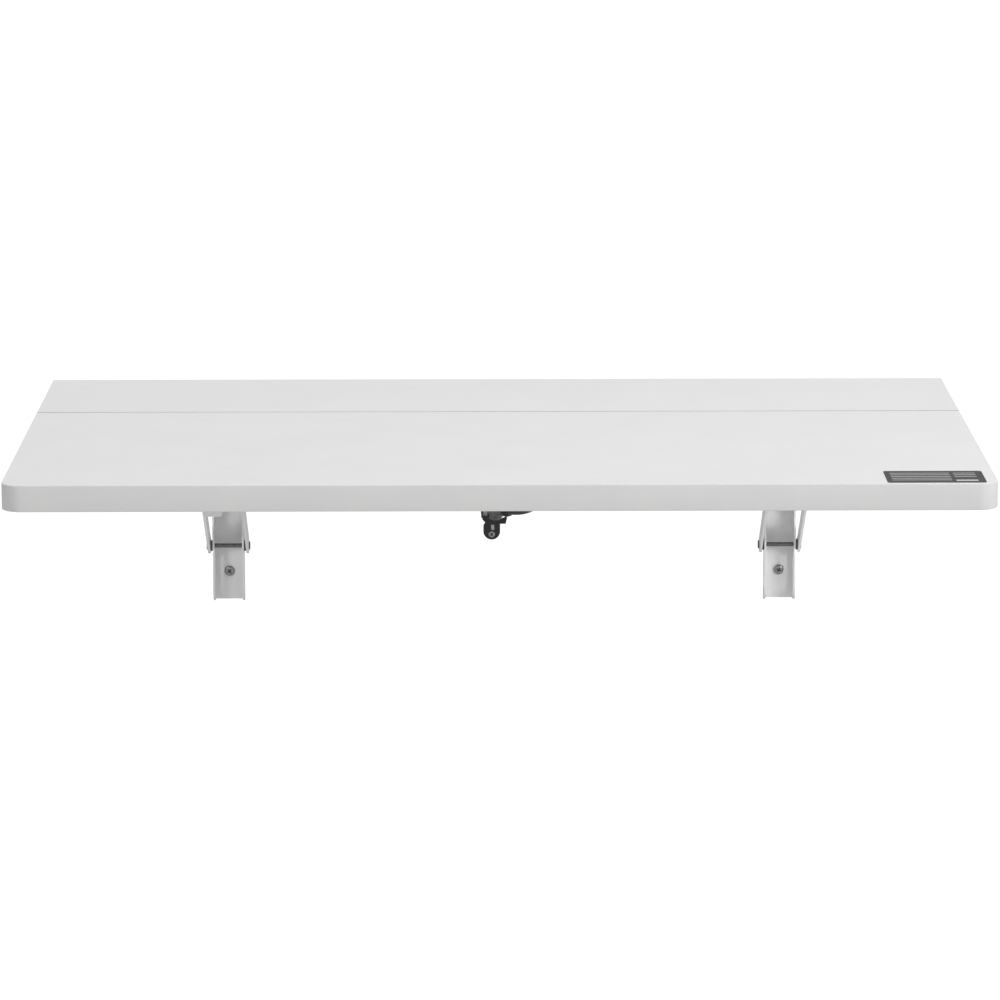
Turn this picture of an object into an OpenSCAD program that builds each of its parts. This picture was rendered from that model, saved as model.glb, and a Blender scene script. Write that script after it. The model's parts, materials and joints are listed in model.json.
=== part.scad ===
// Wall-mounted folding table: a fixed rear shelf and a front leaf that folds down at a seam.
// X runs along the wall, -Y points into the room and Z is up. The wall is the plane Y = 0, and the
// origin is the middle of the wall-screw pattern of the two brackets. All sizes are millimetres.

/* [Table top] */
// Width of the table top along the wall
top_w = 1000; // [900:10:1300]
// Depth of the fixed rear shelf
shelf_d = 200; // [190:5:240]
// Depth of the folding front leaf
leaf_d = 399; // [360:1:450]
// Thickness of both boards
board_t = 27; // [18:1:30]
// Gap between shelf and leaf, the seam line
seam_gap = 1; // [0.5:0.1:2]
// Radius of the leaf's front corners
corner_r = 21; // [8:1:40]
// Thickness of the edge band round each board
band_t = 1; // [0.5:0.1:2]
// Sideways offset of the boards from the middle of the brackets
top_shift = -7.2; // [-10:0.1:10]

/* [Information label] */
// Width of the label on the leaf
label_w = 99.5; // [60:0.5:140]
// Depth of the label, front to back
label_d = 58.5; // [30:0.5:90]
// Thickness of the label
label_t = 0.3; // [0.2:0.1:0.6]
// Distance of the label from the leaf's right side and front
label_inset = [12.2, 7];

/* [Seam hinges] */
// Distance of the outer hinges' middles from the ends of the boards
hinge_inset = 75; // [60:1:110]
// Width of a hinge along the seam
hinge_w = 70; // [50:5:90]
// Reach of a flap under its board
flap_d = 28; // [24:1:34]
// Thickness of a flap
flap_t = 2; // [1.5:0.1:2.5]
// Outside radius of the knuckles
knuckle_r = 3.2; // [2.8:0.1:3.4]
// Drop of the hinge axis below the boards
hinge_drop = 3.6; // [3.5:0.1:4]
// Radius of the hinge pin
hinge_pin_r = 1.5; // [1.2:0.1:1.8]

/* [Wall brackets] */
// Distance between the middles of the two brackets
bracket_span = 623.4; // [560:0.1:660]
// Outside width of the channels and rails
channel_w = 35.3; // [32:0.1:42]
// Depth of the channels and rails
channel_d = 25; // [24:1:32]
// Thickness of the bent sheet
sheet_t = 2; // [1.5:0.1:2.5]
// Outside radius of the sheet's bends
bend_r = 3; // [2.6:0.1:5]
// Drop of the first wall screw below the boards
first_screw_drop = 33; // [31:1:41]
// Spacing of the wall screws up a channel
screw_pitch = 80; // [76:1:84]
// Length of channel below the end of the slot
channel_tail = 15.9; // [8:0.1:30]
// Radius of the lower front corners of the channel's sides
channel_foot_r = 16; // [4:1:18]
// Length of the arm under the shelf
arm_len = 170; // [120:1:176]
// Depth of the arm's sides
arm_d = 22; // [18:1:24]
// Length of the rail under the leaf
rail_len = 272; // [200:1:330]
// Depth of the rail's sides at its front end
rail_end_d = 12; // [9:1:20]
// Gap between the seam hinge's axis and the rail
rail_start = 7.5; // [6.5:0.5:9]

/* [Folding struts] */
// Drop of the lower strut pin below the boards
pin_drop = 161; // [157:1:168]
// Distance of the lower strut pin from the wall
pin_setback = 15; // [14:0.5:16]
// Distance of the upper strut pivot in front of the seam hinge
strut_reach = 20; // [19:0.5:21]
// Drop of the upper strut pivot below the leaf
pivot_drop = 17; // [16:0.5:18]
// Radius of the strut pins
pin_r = 2.4; // [2.2:0.1:3.4]
// Width of a strut bar
bar_w = 18; // [14:1:18]
// Thickness of a strut bar
bar_t = 3; // [2:0.1:4]
// Gap between the channel and a strut bar, filled by a spacer
spacer_gap = 2.5; // [2.3:0.1:3.2]
// Outside radius of the lower spacers
spacer_r = 6.3; // [5:0.1:7]
// Radius of the pin heads and clips
pin_head_r = 4.75; // [4.6:0.05:6]
// Thickness of the pin heads and clips
pin_head_t = 1.5; // [1:0.1:2.5]
// Room round the lower pin in its slot, sideways
slot_play = 1.15; // [1.1:0.05:1.4]

/* [Leaf lock] */
// Full radius of the lock cam
cam_r = 9; // [8.5:0.1:9]
// Radius of the cam where the lever's nose runs
cam_low_r = 6; // [5.6:0.1:6]
// Distance of the lever's pivot from the upper strut pivot, along the strut
lever_pivot_back = 55; // [50:1:60]
// Distance of the thumb tab's middle from the upper strut pivot, along the strut
tab_back = 117; // [112:1:126]
// Width of the thumb tab
tab_w = 21; // [16:1:22]
// Length of the thumb tab
tab_l = 14; // [10:1:16]

/* [Damper] */
// Sideways place of the damper's wall plate
damper_x = -14; // [-20:0.5:0]
// Drop of the damper's wall ball below the boards
wall_ball_drop = 119; // [116:0.5:121]
// Distance of the wall ball from the wall
wall_ball_setback = 30; // [28:0.5:31]
// Sideways distance of the wall ball from the middle of the wall plate
wall_ball_side = 3.8; // [3.5:0.1:4.5]
// Distance of the damper's leaf ball in front of the seam hinge
leaf_ball_reach = 24; // [22:0.5:25]
// Drop of the leaf ball below the hinge axis
leaf_ball_drop = 12; // [11:0.5:12.5]
// Sideways reach of the damper from its wall ball to its leaf ball
damper_reach = 233; // [215:0.5:236]
// Outside radius of the cylinder
cylinder_r = 9; // [8.5:0.1:9.5]
// Wall of the cylinder
cylinder_wall = 1.5; // [1:0.1:2]
// Length of the cylinder
cylinder_len = 208; // [180:1:212]
// Length of the piston rod
rod_len = 142; // [130:1:150]
// Radius of the piston rod
rod_r = 4; // [3:0.1:4.5]
// Radius of the balls of the two ball joints
ball_r = 6.5; // [5.5:0.1:6.6]
// Outside radius of the wall ball's socket
socket_r = 10.5; // [10:0.1:11]
// Width of the damper's wall plate
plate_w = 19; // [18:0.5:20]
// Thickness of the damper's wall plate
plate_t = 2.5; // [2:0.1:3]
// Distance between the screws of the damper's wall plate
plate_pitch = 58; // [56:1:64]

/* [Screws] */
// Radius of the wall screws' shanks
wall_screw_r = 2.5; // [2:0.1:3]
// Radius of the wall screws' pan heads
wall_head_r = 5.7; // [5:0.1:6.5]
// Length of the wall screws behind the wall face
wall_screw_len = 38; // [25:1:60]
// Radius of the small wood screws
wood_screw_r = 2; // [1.5:0.1:2.2]
// Radius of the small wood screws' heads
wood_head_r = 3.9; // [3.6:0.1:4.2]
// Depth to which the small wood screws enter a board
wood_screw_len = 15; // [10:1:15]

/* [Hidden] */

$fn = 64;

// Clearances: running fit of pins and balls, sliding gap of flat parts, gap of parts that pass
run = 0.05;
slide = 0.1;
pass = 0.3;
cut = 1;

// Levels and seam
underside_z = first_screw_drop + screw_pitch;
top_z = underside_z + board_t;
hinge_y = -(shelf_d + seam_gap / 2);
hinge_z = underside_z - hinge_drop;
leaf_back_y = -(shelf_d + seam_gap);
left_x = -bracket_span / 2;
right_x = bracket_span / 2;
side_xs = [left_x, right_x];
hinge_xs = [for (k = [-1:1]) top_shift + k * (top_w / 2 - hinge_inset)];

// The strut's pins at rest, and where the lower one ends when the leaf hangs down
slide_pin = [-pin_setback, underside_z - pin_drop];
pivot = [hinge_y - strut_reach, underside_z - pivot_drop];
strut_len = norm(pivot - slide_pin);
strut_angle = atan2(pivot.y - slide_pin.y, pivot.x - slide_pin.x);
folded_pivot = [hinge_y + hinge_z - pivot.y, hinge_z - strut_reach];
folded_pin_z = folded_pivot.y - sqrt(pow(strut_len, 2) - pow(folded_pivot.x - slide_pin.x, 2));
slot_r = pin_r + slot_play;
channel_bottom_z = folded_pin_z - slot_r - channel_tail;

// Layers of a strut beside its channel, measured from the bracket's middle
flange_x = channel_w / 2;
bar_in_x = flange_x + spacer_gap;
bar_out_x = bar_in_x + bar_t;
pin_end_x = bar_out_x + pin_head_t;

// Angle through which the strut turns against the leaf over the whole fold
folded_angle = atan2(folded_pivot.y - folded_pin_z, folded_pivot.x - slide_pin.x);
fold_turn = 90 + strut_angle - folded_angle;

// Lever's nose, its gap over the cam, and the cam's free angle past the nose at each end of the fold
nose_w = 4;
nose_gap = 0.4;
nose_room = 22;

// Lever in the strut's own plane: along the strut from the lower pin, and in front of it
lever_pivot = [strut_len - lever_pivot_back, 6];
lever_nose = [strut_len, cam_low_r + nose_gap + nose_w / 2];
lever_heel = [strut_len, 13];
lever_tab = [strut_len - tab_back, 16];
lever_w = 7;
lever_out_x = bar_in_x - 2 * slide;
lever_in_x = flange_x + 2 * slide;
rivet_r = 2;
rivet_head_x = bar_out_x + 4.2;

// Ball joints of the damper and the line between them
wall_ball = [damper_x + wall_ball_side, -wall_ball_setback, underside_z - wall_ball_drop];
leaf_ball = [wall_ball.x + damper_reach, hinge_y - leaf_ball_reach, hinge_z - leaf_ball_drop];
damper_line = leaf_ball - wall_ball;
damper_len = norm(damper_line);
collar_at = 15;
collar_len = 5.5;

// Plain solids

module in_side_plane(x, t) {
    translate([x, 0, 0]) rotate([90, 0, 90]) linear_extrude(t) children();
}

module in_wall_plane(y, t) {
    translate([0, y, 0]) rotate([90, 0, 0]) linear_extrude(t) children();
}

module bar2d(p, q, w) {
    along = q - p;
    translate(p) rotate(atan2(along.y, along.x)) {
        translate([0, -w / 2]) square([norm(along), w]);
        circle(d = w);
        translate([norm(along), 0]) circle(d = w);
    }
}

module rounded_rect(w, h, r) {
    translate([-w / 2 + r, -h / 2]) square([w - 2 * r, h]);
    translate([-w / 2, -h / 2 + r]) square([w, h - 2 * r]);
    for (sx = [-1, 1], sy = [-1, 1])
        translate([sx * (w / 2 - r), sy * (h / 2 - r)]) circle(r);
}

// Cylinder along X from x0 to x1 on the axis through y and z
module rod_x(x0, x1, y, z, r) {
    translate([x0, y, z]) rotate([0, 90, 0]) cylinder(h = x1 - x0, r = r);
}

// Cylinder along Y from y0 towards the room
module rod_y(x, y0, z, len, r) {
    translate([x, y0, z]) rotate([90, 0, 0]) cylinder(h = len, r = r);
}

// U-shaped sheet section with its back on Y = 0 and its open side towards -Y
module back_outline(w, d, r) {
    translate([-w / 2, -d]) square([w, d - r]);
    translate([-w / 2 + r, -d]) square([w - 2 * r, d]);
    for (s = [-1, 1]) translate([s * (w / 2 - r), -r]) circle(r);
}

module u_section(w, d) {
    difference() {
        back_outline(w, d, bend_r);
        translate([0, -sheet_t]) back_outline(w - 2 * sheet_t, d, bend_r - sheet_t);
    }
}

// Boards, their edge bands and the label

module shelf_outline(inset) {
    translate([top_shift - top_w / 2 + inset, -shelf_d + inset])
        square([top_w - 2 * inset, shelf_d - 2 * inset]);
}

module leaf_outline(inset) {
    w = top_w - 2 * inset;
    r = corner_r - inset;
    front_y = leaf_back_y - leaf_d + inset;
    translate([top_shift - w / 2, front_y + r]) square([w, leaf_d - 2 * inset - r]);
    translate([top_shift - w / 2 + r, front_y]) square([w - 2 * r, leaf_d - 2 * inset]);
    for (s = [-1, 1]) translate([top_shift + s * (w / 2 - r), front_y + r]) circle(r);
}

module board_layer() {
    translate([0, 0, underside_z]) linear_extrude(board_t) children();
}

module shelf_board() {
    color("whitesmoke") difference() {
        board_layer() shelf_outline(band_t);
        arm_screw_places() wood_hole();
        shelf_flap_places() wood_hole();
    }
}

module shelf_edge_band() {
    color("gainsboro") board_layer() difference() {
        shelf_outline(0);
        shelf_outline(band_t);
    }
}

module leaf_board() {
    color("whitesmoke") difference() {
        board_layer() leaf_outline(band_t);
        rail_screw_places() wood_hole();
        leaf_flap_places() wood_hole();
        damper_leaf_places() wood_hole();
    }
}

module leaf_edge_band() {
    color("gainsboro") board_layer() difference() {
        leaf_outline(0);
        leaf_outline(band_t);
    }
}

module info_label() {
    label_x = top_shift + top_w / 2 - label_inset.x - label_w / 2;
    label_y = leaf_back_y - leaf_d + label_inset.y + label_d / 2;
    color("dimgray") translate([label_x, label_y, top_z]) linear_extrude(label_t)
        rounded_rect(label_w, label_d, 3);
}

// Small wood screws that point up into a board from the face at the origin

module wood_hole() {
    translate([0, 0, -cut]) cylinder(h = wood_screw_len + cut, r = wood_screw_r);
}

module wood_screw(seat_t) {
    head_h = 2.2;
    translate([0, 0, -seat_t]) cylinder(h = seat_t + wood_screw_len, r = wood_screw_r);
    translate([0, 0, -seat_t - head_h]) difference() {
        cylinder(h = head_h, r = wood_head_r);
        for (a = [0, 90]) rotate(a) translate([-2.2, -0.4, -cut]) cube([4.4, 0.8, cut + 1.4]);
    }
}

module seat_hole(t) {
    translate([0, 0, -t - cut]) cylinder(h = t + 2 * cut, r = wood_screw_r + slide);
}

// Seam hinges

knuckle_count = 5;
knuckle_len = hinge_w / knuckle_count;
flap_gap = 0.5;
flap_screw_d = (flap_d + knuckle_r) / 2 + 1;
flap_screw_x = hinge_w / 2 - 12;

module shelf_flap_places() {
    for (x = hinge_xs, s = [-1, 1])
        translate([x + s * flap_screw_x, hinge_y + flap_screw_d, underside_z]) children();
}

module leaf_flap_places() {
    for (x = hinge_xs, s = [-1, 1])
        translate([x + s * flap_screw_x, hinge_y - flap_screw_d, underside_z]) children();
}

// One flap with its knuckles; side is 1 for the shelf's flap and -1 for the leaf's
module hinge_flap(side) {
    first = side > 0 ? 0 : 1;
    inner = knuckle_r + flap_gap;
    difference() {
        union() {
            translate([-hinge_w / 2, side > 0 ? inner : -flap_d, hinge_drop - flap_t])
                cube([hinge_w, flap_d - inner, flap_t]);
            for (k = [first:2:knuckle_count - 1]) {
                x = -hinge_w / 2 + k * knuckle_len + slide;
                len = knuckle_len - 2 * slide;
                rod_x(x, x + len, 0, 0, knuckle_r);
                translate([x, side > 0 ? 0 : -inner - cut, hinge_drop - flap_t])
                    cube([len, inner + cut, flap_t]);
            }
        }
        rod_x(-hinge_w, hinge_w, 0, 0, hinge_pin_r + run);
        for (s = [-1, 1]) translate([s * flap_screw_x, side * flap_screw_d, hinge_drop]) seat_hole(flap_t);
    }
}

module hinge_flaps_shelf() {
    color("silver") for (x = hinge_xs) translate([x, hinge_y, hinge_z]) hinge_flap(1);
}

module hinge_flaps_leaf() {
    color("silver") for (x = hinge_xs) translate([x, hinge_y, hinge_z]) hinge_flap(-1);
}

module hinge_pins() {
    head_t = 0.8;
    half = hinge_w / 2 + slide;
    color("darkgray") for (x = hinge_xs) {
        rod_x(x - half, x + half, hinge_y, hinge_z, hinge_pin_r);
        for (s = [-1, 1])
            rod_x(x + s * (half + head_t / 2) - head_t / 2, x + s * (half + head_t / 2) + head_t / 2,
                hinge_y, hinge_z, hinge_pin_r + 1);
    }
}

module hinge_screws_shelf() {
    color("silver") shelf_flap_places() wood_screw(flap_t);
}

module hinge_screws_leaf() {
    color("silver") leaf_flap_places() wood_screw(flap_t);
}

// Wall channels and the arms under the shelf

arm_w = channel_w - 2 * sheet_t - 2 * slide;
arm_back_y = -(bend_r + slide);
rivet_ys = [-9, -18];
rivet_z = underside_z - 12;
arm_screw_ys = [-45, -95, -145];
channel_len = underside_z - channel_bottom_z;
wall_screw_zs = [-screw_pitch, 0, screw_pitch];

module wall_channel(x) {
    color("white") translate([x, 0, 0]) difference() {
        translate([0, 0, channel_bottom_z]) linear_extrude(channel_len) u_section(channel_w, channel_d);
        in_side_plane(-channel_w, 2 * channel_w) {
            bar2d([slide_pin.x, slide_pin.y - slot_play + pass], [slide_pin.x, folded_pin_z], 2 * slot_r);
            translate([-channel_d, channel_bottom_z]) difference() {
                translate([-cut, -cut]) square(channel_foot_r + cut);
                translate([channel_foot_r, channel_foot_r]) circle(channel_foot_r);
            }
        }
        for (z = wall_screw_zs) rod_y(0, cut, z, sheet_t + 2 * cut, wall_screw_r + 2 * slide);
        for (y = rivet_ys) rod_x(-channel_w, channel_w, y, rivet_z, arm_rivet_r);
    }
}

module wall_channel_left() { wall_channel(left_x); }
module wall_channel_right() { wall_channel(right_x); }

module shelf_arm(x) {
    tip_d = arm_d / 2;
    color("white") translate([x, 0, 0]) difference() {
        translate([0, arm_back_y, underside_z]) rotate([90, 0, 0]) linear_extrude(arm_len)
            u_section(arm_w, arm_d);
        in_side_plane(-channel_w, 2 * channel_w) polygon([
            [arm_back_y - arm_len - cut, underside_z - tip_d],
            [arm_back_y - arm_len, underside_z - tip_d],
            [arm_back_y - arm_len * 0.45, underside_z - arm_d - cut],
            [arm_back_y - arm_len - cut, underside_z - arm_d - cut]
        ]);
        for (y = rivet_ys) rod_x(-channel_w, channel_w, y, rivet_z, arm_rivet_r);
        for (y = arm_screw_ys) translate([0, y, underside_z]) seat_hole(sheet_t);
    }
}

module shelf_arm_left() { shelf_arm(left_x); }
module shelf_arm_right() { shelf_arm(right_x); }

arm_rivet_r = 2;

module arm_rivets() {
    head_r = 3.6;
    head_t = 1.3;
    inner_x = arm_w / 2 - sheet_t;
    color("gainsboro") for (x = side_xs, s = [-1, 1], y = rivet_ys) {
        shank = [s * inner_x, s * flange_x];
        rod_x(x + min(shank), x + max(shank), y, rivet_z, arm_rivet_r);
        outer = [s * flange_x, s * (flange_x + head_t)];
        rod_x(x + min(outer), x + max(outer), y, rivet_z, head_r);
        inner = [s * inner_x, s * (inner_x - head_t)];
        rod_x(x + min(inner), x + max(inner), y, rivet_z, head_r);
    }
}

module arm_screw_places() {
    for (x = side_xs, y = arm_screw_ys) translate([x, y, underside_z]) children();
}

module arm_screws() {
    color("silver") arm_screw_places() wood_screw(sheet_t);
}

// Cross-recess pan-head screw along Y with its seat on the face at seat_y. Its neck is a little
// thinner than the thread, which starts at the wall face.
module pan_screw_y(x, seat_y, z, head_r, head_h, shank_r, tip_y) {
    tip_len = 2 * shank_r;
    rod_y(x, 0, z, -seat_y, shank_r - slide);
    rod_y(x, tip_y - tip_len, z, tip_y - tip_len, shank_r);
    translate([x, tip_y - tip_len, z]) rotate([-90, 0, 0])
        cylinder(h = tip_len, r1 = shank_r, r2 = 0.3);
    difference() {
        union() {
            rod_y(x, seat_y, z, head_h * 0.5, head_r);
            translate([x, seat_y - head_h * 0.5, z]) rotate([90, 0, 0])
                cylinder(h = head_h * 0.5, r1 = head_r, r2 = head_r * 0.62);
        }
        for (a = [0, 90]) translate([x, seat_y - head_h, z]) rotate([0, a, 0])
            translate([-head_r * 0.45, -cut, -head_r * 0.09])
                cube([head_r * 0.9, cut + head_h * 0.55, head_r * 0.18]);
    }
}

module wall_screws() {
    color("silver") for (x = side_xs, z = wall_screw_zs)
        pan_screw_y(x, -sheet_t, z, wall_head_r, 3.4, wall_screw_r, wall_screw_len);
}

// Rails under the leaf

rail_back_y = hinge_y - rail_start;
rail_screw_ys = [rail_back_y - 45, rail_back_y - rail_len / 2, rail_back_y - rail_len + 25];
rail_taper_y = rail_back_y - rail_len / 3;
rail_corner_r = 4;

module leaf_rail(x) {
    color("white") translate([x, 0, 0]) difference() {
        translate([0, rail_back_y, underside_z]) rotate([90, 0, 0]) linear_extrude(rail_len)
            u_section(channel_w, channel_d);
        in_side_plane(-channel_w, 2 * channel_w) {
            polygon([
                [rail_back_y - rail_len - cut, underside_z - rail_end_d],
                [rail_back_y - rail_len, underside_z - rail_end_d],
                [rail_taper_y, underside_z - channel_d],
                [rail_taper_y, underside_z - channel_d - cut],
                [rail_back_y - rail_len - cut, underside_z - channel_d - cut]
            ]);
            translate([rail_back_y, underside_z - channel_d]) difference() {
                translate([-rail_corner_r, -cut]) square(rail_corner_r + cut);
                translate([-rail_corner_r, rail_corner_r]) circle(rail_corner_r);
            }
        }
        rod_x(-channel_w, channel_w, pivot.x, pivot.y, pin_r);
        for (y = rail_screw_ys) translate([0, y, underside_z]) seat_hole(sheet_t);
    }
}

module leaf_rail_left() { leaf_rail(left_x); }
module leaf_rail_right() { leaf_rail(right_x); }

module rail_screw_places() {
    for (x = side_xs, y = rail_screw_ys) translate([x, y, underside_z]) children();
}

module rail_screws() {
    color("silver") rail_screw_places() wood_screw(sheet_t);
}

// A strut pin with its head on the left; the clip closes its right end

module strut_pin(x, at) {
    rod_x(x - bar_out_x, x + pin_end_x, at.x, at.y, pin_r);
    rod_x(x - pin_end_x, x - bar_out_x, at.x, at.y, pin_head_r);
}

module strut_clip(x, at) {
    difference() {
        rod_x(x + bar_out_x, x + pin_end_x - 2 * slide, at.x, at.y, pin_head_r);
        rod_x(x, x + pin_end_x + cut, at.x, at.y, pin_r);
    }
}

module spacer(x0, at, r, hole_r) {
    t = spacer_gap - slide;
    difference() {
        rod_x(x0, x0 + t, at.x, at.y, r);
        rod_x(x0 - cut, x0 + t + cut, at.x, at.y, hole_r);
    }
}

module strut_pivot_pin_left() { color("dimgray") strut_pin(left_x, pivot); }
module strut_pivot_pin_right() { color("dimgray") strut_pin(right_x, pivot); }

module strut_pivot_clips() {
    color("dimgray") for (x = side_xs) strut_clip(x, pivot);
}

// The left bracket has its lock cam in place of the outer left spacer
module strut_pivot_spacers() {
    color("dimgray") {
        spacer(left_x + flange_x, pivot, spacer_r, pin_r);
        spacer(right_x + flange_x, pivot, spacer_r, pin_r);
        spacer(right_x - bar_in_x + slide, pivot, spacer_r, pin_r);
    }
}

// Disc on the leaf's rail, cut back over the angle through which the lever's nose runs
module lock_cam() {
    nose_angle = strut_angle + 90;
    from = nose_angle - fold_turn - nose_room;
    sweep = fold_turn + 2 * nose_room;
    steps = 8;
    far = 3 * cam_r;
    color("darkgray") difference() {
        in_side_plane(left_x - bar_in_x + slide, spacer_gap - slide) difference() {
            translate(pivot) circle(cam_r);
            translate(pivot) difference() {
                polygon(concat([[0, 0]], [for (k = [0:steps])
                    far * [cos(from + k * sweep / steps), sin(from + k * sweep / steps)]]));
                circle(cam_low_r);
            }
        }
        rod_x(left_x - 2 * channel_w, left_x, pivot.x, pivot.y, pin_r);
    }
}

// Struts: two flat bars each, on the lower pin that slides in the channel's slots

module strut_bars(x) {
    color("white") difference() {
        for (x0 = [-bar_out_x, bar_in_x])
            in_side_plane(x + x0, bar_t) bar2d(slide_pin, pivot, bar_w);
        rod_x(x - 2 * channel_w, x + 2 * channel_w, slide_pin.x, slide_pin.y, pin_r);
        rod_x(x - 2 * channel_w, x + 2 * channel_w, pivot.x, pivot.y, pin_r + run);
        if (x < 0) strut_frame(x) translate([lever_pivot.x, lever_pivot.y, -2 * channel_w])
            cylinder(h = 2 * channel_w, r = rivet_r);
    }
}

// The strut's own frame: X along it from the lower pin, Y in front of it, Z along the wall
module strut_frame(x) {
    translate([x, slide_pin.x, slide_pin.y]) rotate([90, 0, 90]) rotate(strut_angle) children();
}

module strut_bars_left() { strut_bars(left_x); }
module strut_bars_right() { strut_bars(right_x); }

module strut_slide_pin_left() { color("dimgray") strut_pin(left_x, slide_pin); }
module strut_slide_pin_right() { color("dimgray") strut_pin(right_x, slide_pin); }

module strut_clip_left() { color("dimgray") strut_clip(left_x, slide_pin); }
module strut_clip_right() { color("dimgray") strut_clip(right_x, slide_pin); }

module strut_spacers(x) {
    color("dimgray") {
        spacer(x + flange_x + slide, slide_pin, spacer_r, pin_r);
        spacer(x - bar_in_x, slide_pin, spacer_r, pin_r);
    }
}

module strut_spacers_left() { strut_spacers(left_x); }
module strut_spacers_right() { strut_spacers(right_x); }

// Release lever on the left strut, its rivet and its return spring

module lever_rivet() {
    color("silver") strut_frame(left_x) translate([lever_pivot.x, lever_pivot.y, 0]) {
        translate([0, 0, -rivet_head_x]) cylinder(h = rivet_head_x - lever_in_x, r = rivet_r);
        translate([0, 0, -rivet_head_x - 1.4]) cylinder(h = 1.4, r = 4.5);
    }
}

module release_lever() {
    plate_t = lever_out_x - lever_in_x;
    tab_t = 2;
    tab_lip = 1;
    tab_y = lever_tab.y + 1;
    tab_z = tab_w / 2 - lever_out_x - tab_lip;
    color("white") strut_frame(left_x) {
        difference() {
            union() {
                translate([0, 0, -lever_out_x]) linear_extrude(plate_t) {
                    bar2d(lever_nose, lever_heel, nose_w);
                    bar2d(lever_heel, lever_pivot, lever_w);
                    bar2d(lever_pivot, lever_tab, lever_w);
                    translate([lever_tab.x - tab_l / 2 + 3, lever_tab.y - lever_w / 2])
                        square([tab_l - 6, lever_w / 2 + 1 + tab_t]);
                }
                translate([lever_tab.x, tab_y, tab_z]) rotate([-90, 0, 0])
                    linear_extrude(tab_t) rounded_rect(tab_l, tab_w, 5);
            }
            translate([lever_pivot.x, lever_pivot.y, -2 * channel_w])
                cylinder(h = 2 * channel_w, r = rivet_r + run);
        }
    }
}

// Torsion spring: one wire with a leg along the bar, two coils round the rivet and a hooked leg
wire_r = 0.4;
coil_r = 2.9;
coil_pitch = 1.4;
coil_z = -(bar_out_x + pass + wire_r);
hook_at = [lever_pivot.x - 12, lever_pivot.y + 5.9];
hook_dist = norm(hook_at - lever_pivot);
coil_end = atan2(hook_at.y - lever_pivot.y, hook_at.x - lever_pivot.x) + acos(coil_r / hook_dist) - 360;
coil_turn = -90 - coil_end + 720;
coil_steps = ceil(coil_turn / 45);
leg_len = 9;
hook_bend = 1.4;
hook_reach = sqrt(pow(hook_dist, 2) - pow(coil_r, 2)) - hook_bend;
up = [0, 0, 1];

// Each ring of the wire is a point, the wire's direction there and a direction across it
function coil_ring(k) =
    let (a = -90 - coil_turn * k / coil_steps, z = coil_z - coil_pitch * coil_turn / 360 * k / coil_steps)
    [[lever_pivot.x + coil_r * cos(a), lever_pivot.y + coil_r * sin(a), z],
     [sin(a), -cos(a), 0], [cos(a), sin(a), 0]];

function leg_ring() =
    let (first = coil_ring(0))
    [first[0] - leg_len * first[1], first[1], first[2]];

// The hook runs straight off the coil, bends by 90 degrees and passes in front of the bar and lever
function hook_rings() =
    let (last = coil_ring(coil_steps), d = last[1], start = last[0] + d * hook_reach)
    [for (b = [0:30:90]) [start + hook_bend * (d * sin(b) + up * (1 - cos(b))),
        d * cos(b) + up * sin(b), last[2]],
     [[hook_at.x, hook_at.y, -lever_in_x - pass], up, last[2]]];

wire_rings = concat([leg_ring()], [for (k = [0:coil_steps]) coil_ring(k)], hook_rings());
wire_gaps = [for (i = [0:len(wire_rings) - 1], j = [i + 5:1:len(wire_rings) - 1])
    norm(wire_rings[i][0] - wire_rings[j][0]) - 2 * wire_r];
echo(lever_spring_least_gap = min(wire_gaps));

module lever_spring() {
    sides = 6;
    n = len(wire_rings);
    points = [for (ring = wire_rings, j = [0:sides - 1])
        let (a = 360 * j / sides) ring[0] + wire_r * (cos(a) * ring[2] + sin(a) * cross(ring[1], ring[2]))];
    walls = [for (i = [0:n - 2], j = [0:sides - 1])
        let (p = i * sides + j, q = i * sides + (j + 1) % sides)
        each [[p, p + sides, q + sides], [p, q + sides, q]]];
    ends = [for (j = [1:sides - 2]) each [[0, j, j + 1],
        [(n - 1) * sides, (n - 1) * sides + j + 1, (n - 1) * sides + j]]];
    color("silver") strut_frame(left_x) polyhedron(points, concat(walls, ends));
}

// Damper: wall plate, ball studs, cylinder, rod and leaf bracket

// Places its children at the wall ball with Z along the damper
module along_damper(s) {
    tilt = acos(damper_line.z / damper_len);
    turn = atan2(damper_line.y, damper_line.x);
    translate(wall_ball) rotate([0, tilt, turn]) translate([0, 0, s]) children();
}

plate_mid_z = wall_ball.z - 3.2;
plate_screw_zs = [plate_mid_z - plate_pitch / 2, plate_mid_z + plate_pitch / 2];
ear_t = 1.6;
ear_r = 7.5;
ear_x = -plate_w / 2 - 0.9 - ear_t;

// Bent tongue of the plate, below the damper on its right
module plate_wing() {
    polygon([[0, -20.5], [15.9, -20.5], [17.5, -13], [16.9, -12], [11, -14.3], [0, -14.3]]);
}

// The plate's left edge: it widens to the ear, and a notch below the ear parts it from the foot
notch_top = -15;
notch_mid = [2 - plate_w / 2, -19.1];
notch_foot = -22.1;

module ear_root() {
    left = ear_x + 1.2;
    polygon([[left, 2 * ear_r], [left, notch_top], notch_mid, [0, notch_mid.y], [0, 2 * ear_r]]);
}

module ear_notch() {
    far = ear_x - cut;
    polygon([[ear_x + 1.2, notch_top], notch_mid, [-plate_w / 2, notch_foot],
        [far, notch_foot], [far, notch_top]]);
}

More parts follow.
